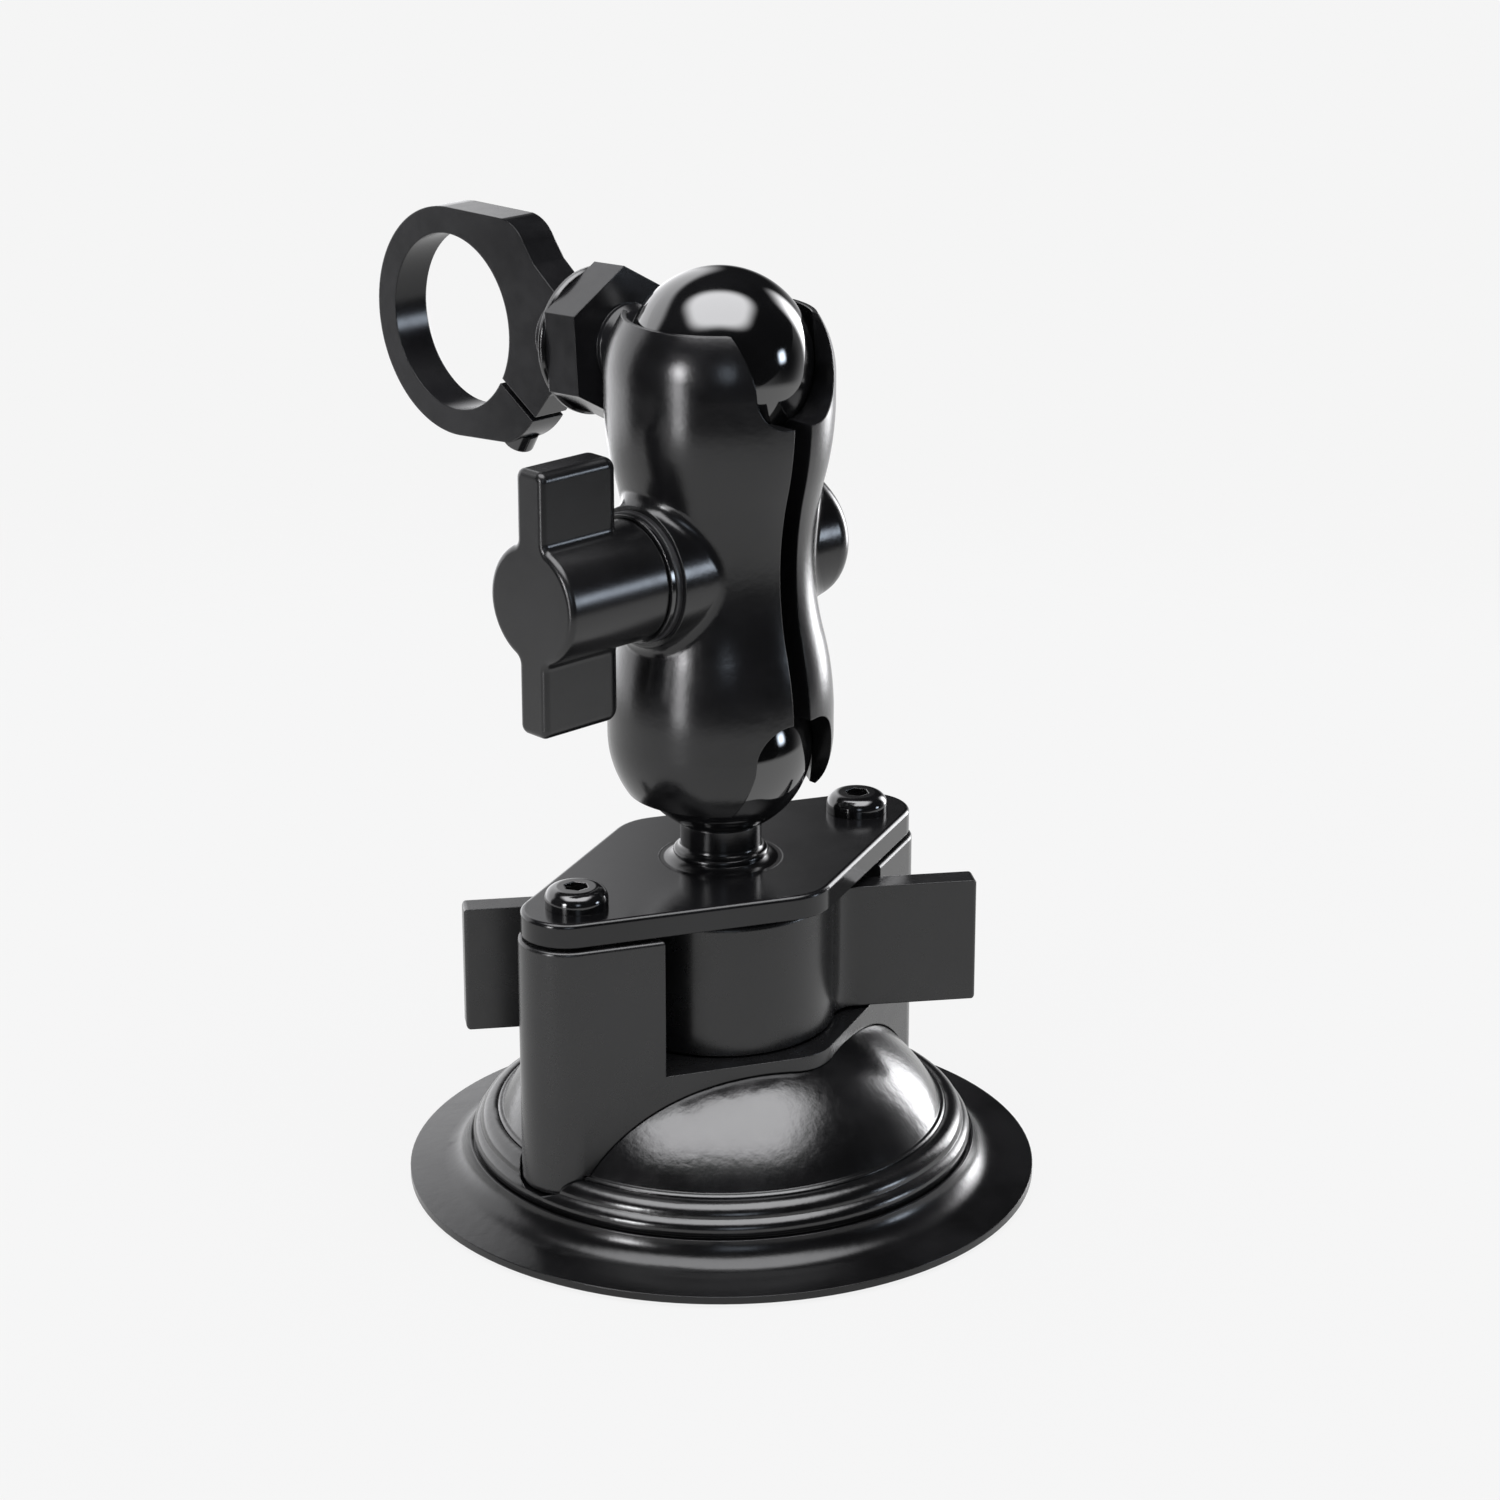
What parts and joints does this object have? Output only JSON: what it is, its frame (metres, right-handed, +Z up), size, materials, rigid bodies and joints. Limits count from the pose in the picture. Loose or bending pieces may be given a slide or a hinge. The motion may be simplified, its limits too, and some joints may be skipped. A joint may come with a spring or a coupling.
{
  "type": "suction base ball-arm mount with ring clamp",
  "caption": "Double-socket ball arm with a wing knob on a twist-lock suction base, carrying a split ring clamp for a round bar.",
  "frame": {"origin": "centre of the suction cup's lower face, which rests on the surface", "axes": "+Z up along the arm, +X along the diamond plate and the wing knob's axis (the knob is at -X), +Y towards the ring clamp"},
  "size_m": [0.0888, 0.1139, 0.1313],
  "materials": {
    "cup_rubber": "black, satin, soft",
    "ring_plastic": "black, satin, fine grain",
    "dome_plastic": "black, glossy, fine orange peel",
    "housing_plastic": "black, satin, moulded",
    "cam_plastic": "natural moulded acetal",
    "brass": "turned",
    "powder_coat": "black powder coat, semi-gloss, orange peel",
    "black_steel": "black oxide, glossy",
    "bright_steel": "plain zinc",
    "ball_rubber": "black, smooth, glossy",
    "nylon": "natural nylon",
    "knob_plastic": "black, satin",
    "clamp_metal": "black anodised, satin"
  },
  "bodies": {
    "base": {"suction_cup": "cup_rubber", "pressure_ring": "ring_plastic", "cup_dome": "dome_plastic", "housing": "housing_plastic", "leg_inserts": "brass", "diamond_plate": "powder_coat", "plate_screws": "black_steel"},
    "lever": {"twist_lever": "housing_plastic", "cam_ring": "cam_plastic"},
    "lift": {"lift_stud": "bright_steel", "cross_pin": "bright_steel"},
    "swivel_ball": {"lower_ball": "ball_rubber"},
    "arm": {"arm_front_half": "powder_coat", "arm_spring": "bright_steel", "nylon_washer": "nylon", "steel_washer": "bright_steel"},
    "arm_back": {"arm_back_half": "powder_coat", "clamp_bolt": "black_steel"},
    "knob": {"wing_knob": "knob_plastic", "knob_insert": "brass"},
    "tilt_ball": {"upper_ball": "ball_rubber"},
    "ring": {"ball_stud": "clamp_metal", "stud_washer": "bright_steel", "ring_clamp": "clamp_metal"},
    "pinch": {"pinch_screw": "bright_steel"}
  },
  "joints": [
    {"name": "lever_twist", "type": "hinge", "parent": "base", "child": "lever", "pos_m": [0, 0, 0.0333], "axis": [0, 0, 1], "range_deg": [-110.05, 0]},
    {"name": "stud_lift", "type": "slide", "parent": "base", "child": "lift", "axis": [0, 0, 1], "range_m": [0, 0.003]},
    {"name": "lower_swivel", "type": "hinge", "parent": "base", "child": "swivel_ball", "pos_m": [0, 0, 0.0642], "axis": [0, 0, 1], "continuous": true},
    {"name": "arm_tilt", "type": "hinge", "parent": "swivel_ball", "child": "arm", "pos_m": [0, 0, 0.0642], "axis": [1, 0, 0], "range_deg": [-70, 70]},
    {"name": "knob_turn", "type": "hinge", "parent": "arm", "child": "knob", "pos_m": [0, 0, 0.0912], "axis": [-1, 0, 0], "range_deg": [0, 720.2]},
    {"name": "clamp_gap", "type": "slide", "parent": "arm", "child": "arm_back", "axis": [1, 0, 0], "range_m": [0, 0.0025]},
    {"name": "ring_tilt", "type": "hinge", "parent": "arm", "child": "tilt_ball", "pos_m": [0, 0, 0.1182], "axis": [1, 0, 0], "range_deg": [0, 185]},
    {"name": "ring_roll", "type": "hinge", "parent": "tilt_ball", "child": "ring", "pos_m": [0, 0, 0.1182], "axis": [0, 0.9977, -0.068], "continuous": true},
    {"name": "pinch_turn", "type": "hinge", "parent": "ring", "child": "pinch", "pos_m": [0, 0.03799, 0.10537], "axis": [0, 0.524, -0.8517], "range_deg": [0, 720]}
  ],
  "couplings": [
    {"joint": "lever_twist", "follows": "stud_lift", "rad_per_m": -639.95},
    {"joint": "knob_turn", "follows": "clamp_gap", "rad_per_m": 5026.6}
  ]
}
